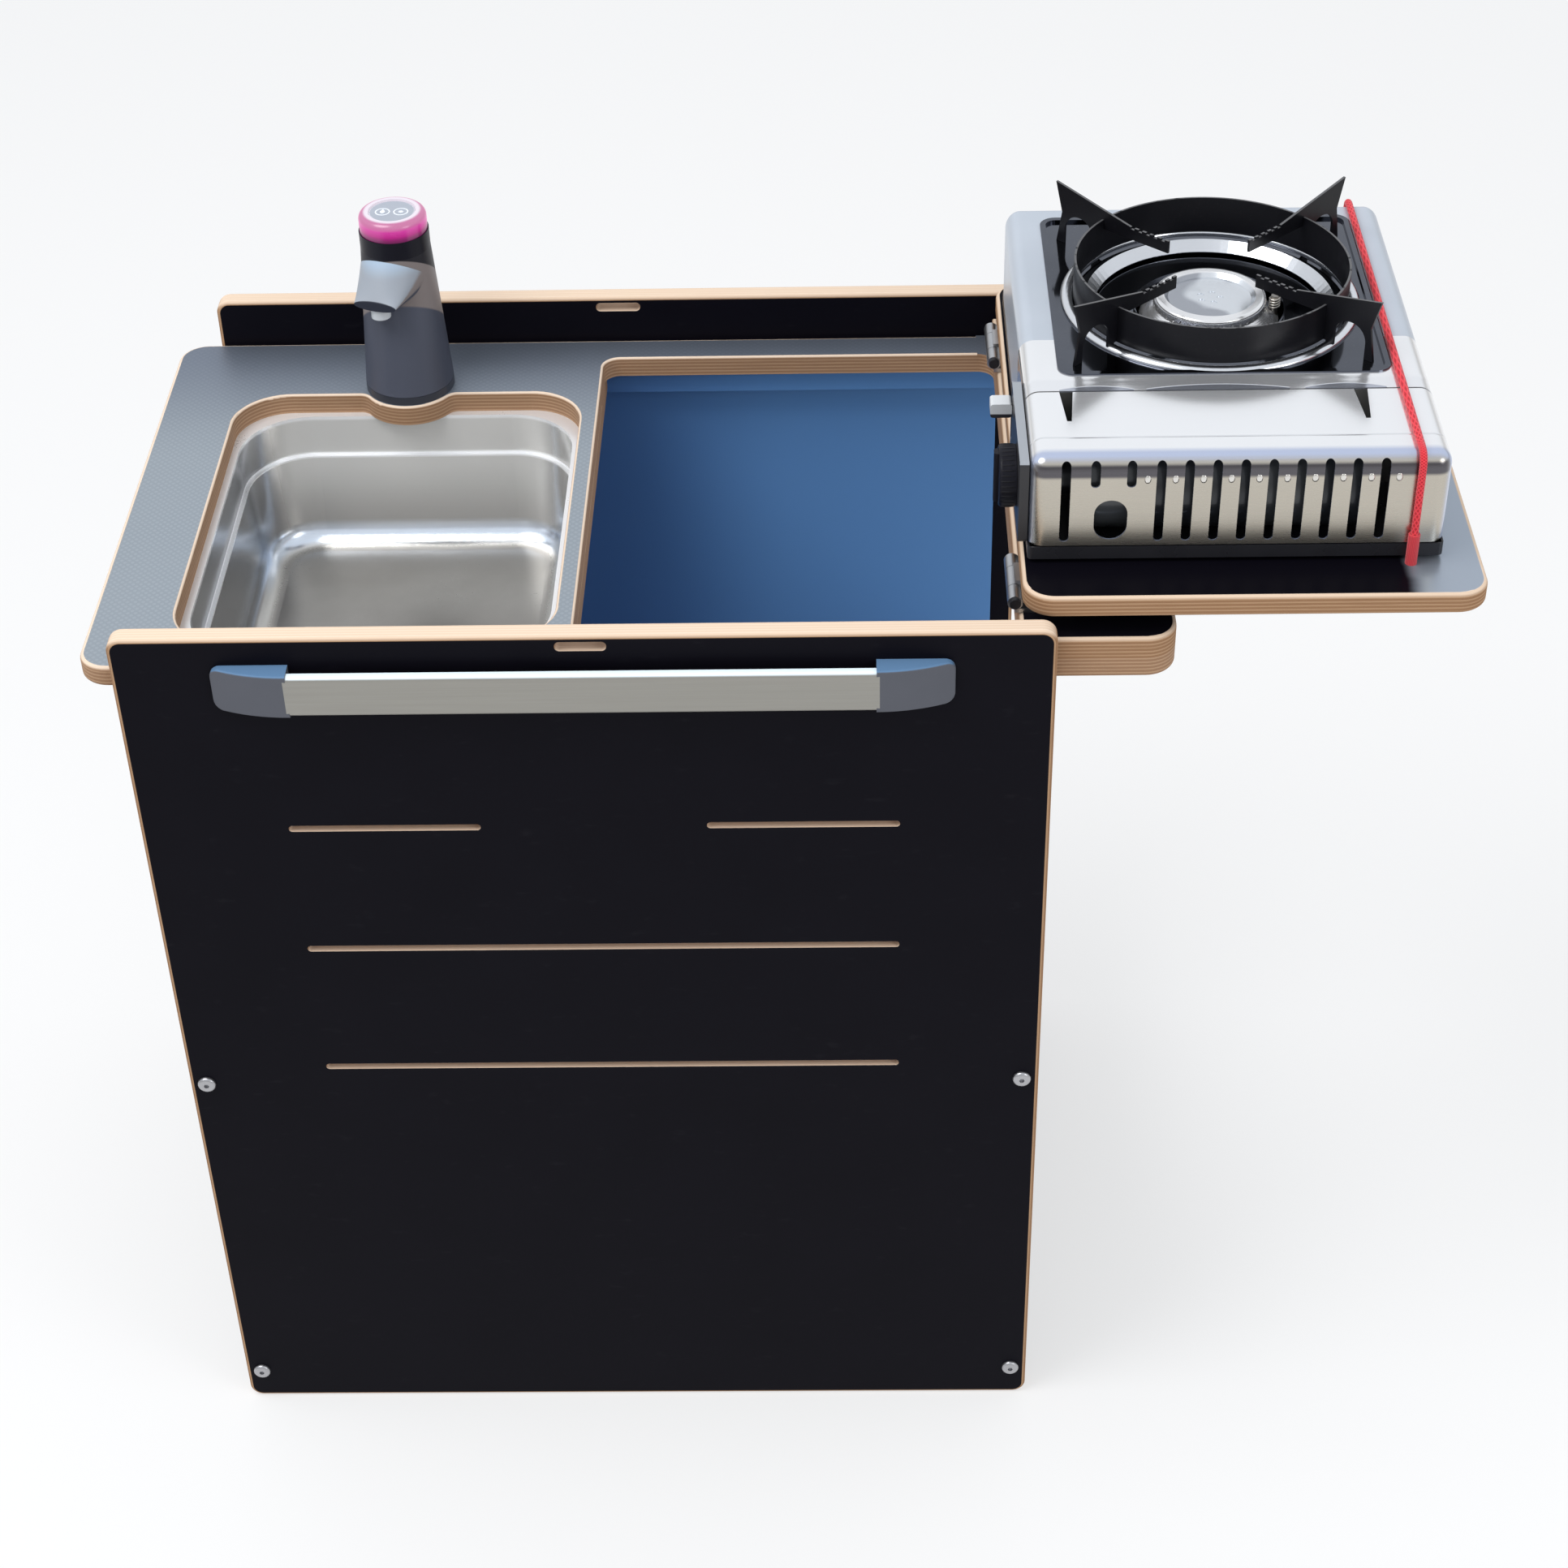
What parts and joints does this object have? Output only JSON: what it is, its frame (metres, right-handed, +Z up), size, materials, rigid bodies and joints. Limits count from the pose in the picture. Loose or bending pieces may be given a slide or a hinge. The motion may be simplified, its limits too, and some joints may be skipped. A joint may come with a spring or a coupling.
{
  "type": "campervan kitchen pod",
  "caption": "Campervan kitchen pod of film-faced plywood: sink with tap, storage well, and a gas stove on a lid that folds over the end.",
  "frame": {"origin": "on the floor under the middle of the carcass, on the underside of the base board", "axes": "+X towards the end that the lid folds over, -Y towards the front panel, +Z up"},
  "size_m": [0.8995, 0.467, 0.849],
  "materials": {
    "black_ply": "birch plywood, smooth black film, bare cut edges",
    "mesh_ply": "birch plywood, grey-blue film with a fine mesh texture",
    "bare_ply": "bare birch plywood",
    "bright_steel": "zinc-plated screws",
    "hinge_steel": "satin steel",
    "black_steel": "black painted steel",
    "black_rubber": "matt rubber",
    "anodised_bar": "satin anodised",
    "grey_plastic": "matt grey-blue plastic",
    "brushed_pan": "brushed stainless steel",
    "dark_plastic": "satin dark grey plastic",
    "pale_plastic": "pale grey plastic",
    "cell_wrap": "rechargeable cell in a blue wrap",
    "black_plastic": "black plastic",
    "lit_plastic": "translucent ring lit magenta",
    "spring_rubber": "soft return sleeve",
    "pale_steel": "pale grey-blue painted steel",
    "chromed_steel": "bright polished steel",
    "plated_steel": "plated steel",
    "cast_brass": "cast brass",
    "cartridge_steel": "plain painted can",
    "cast_aluminium": "machined aluminium",
    "dark_steel": "dark mirror-finished steel",
    "enamelled_steel": "black enamel, worn at the teeth",
    "red_cord": "braided elastic cord",
    "red_sleeve": "braided sleeve"
  },
  "bodies": {
    "carcass": {"front_panel": "black_ply", "rear_panel": "black_ply", "left_end_panel": "black_ply", "right_end_panel": "black_ply", "base_board": "black_ply", "front_cleat": "bare_ply", "rear_cleat": "bare_ply", "cleat_screws": "bright_steel", "panel_screws": "bright_steel", "worktop": "mesh_ply", "lid_rail": "black_ply", "lid_buffers": "black_rubber", "hinge_fixed_leaves": "hinge_steel", "hinge_pins": "black_steel", "fixed_leaf_screws": "bright_steel", "handle_bar": "anodised_bar", "handle_caps": "grey_plastic", "handle_screws": "bright_steel", "sink_pan": "brushed_pan", "pan_frame": "bare_ply", "pan_shims": "bare_ply", "tap_base": "dark_plastic", "tap_base_screws": "bright_steel", "tap_tail": "pale_plastic"},
    "lid": {"lid": "black_ply", "hinge_moving_leaves": "hinge_steel", "moving_leaf_screws": "bright_steel", "stove_tray": "black_steel", "stove_feet": "black_rubber", "stove_top_plate": "pale_steel", "stove_strip": "chromed_steel", "heat_shield": "plated_steel", "gas_regulator": "cast_brass", "gas_pipe": "plated_steel", "gas_cartridge": "cartridge_steel", "burner_body": "cast_aluminium", "burner_cap": "cast_aluminium", "igniter": "plated_steel", "drip_pan": "dark_steel", "control_panel": "black_steel", "cover_brackets": "plated_steel", "cover_pins": "plated_steel", "elastic_cord": "red_cord", "cord_sleeve": "red_sleeve", "cord_knots": "red_cord"},
    "cover": {"cartridge_cover": "chromed_steel"},
    "knob": {"stove_knob": "black_plastic"},
    "lever": {"cartridge_lever": "pale_plastic"},
    "support": {"pan_support": "enamelled_steel"},
    "tap_head": {"tap_body": "dark_plastic", "tap_nozzle": "pale_plastic", "tap_battery": "cell_wrap", "tap_collar": "black_plastic", "tap_light_ring": "lit_plastic", "tap_button_spring": "spring_rubber"},
    "button": {"tap_button": "pale_plastic"}
  },
  "joints": [
    {"name": "lid_hinge", "type": "hinge", "parent": "carcass", "child": "lid", "pos_m": [0.2755, 0, 0.7065], "axis": [0, -1, 0], "range_deg": [0, 180]},
    {"name": "cover_hinge", "type": "hinge", "parent": "lid", "child": "cover", "pos_m": [0.41475, -0.0924, 0.801], "axis": [-1, 0, 0], "range_deg": [0, 95], "deforming": ["elastic_cord", "cord_sleeve"]},
    {"name": "gas_knob", "type": "hinge", "parent": "lid", "child": "knob", "pos_m": [0.2694, -0.123, 0.76875], "axis": [-1, 0, 0], "range_deg": [0, 110]},
    {"name": "lever_slide", "type": "slide", "parent": "lid", "child": "lever", "axis": [0, 0, -1], "range_m": [0, 0.022]},
    {"name": "support_lift", "type": "slide", "parent": "lid", "child": "support", "axis": [0, 0, 1], "range_m": [0, 0.06]},
    {"name": "tap_swivel", "type": "hinge", "parent": "carcass", "child": "tap_head", "pos_m": [-0.15, 0.147, 0.69], "axis": [0, 0, 1], "range_deg": [-90, 90]},
    {"name": "tap_button_press", "type": "slide", "parent": "tap_head", "child": "button", "axis": [0, 0, -1], "range_m": [0, 0.0015], "stiffness_N_per_m": 1500, "springref_m": -0.001, "deforming": ["tap_button_spring"]}
  ]
}
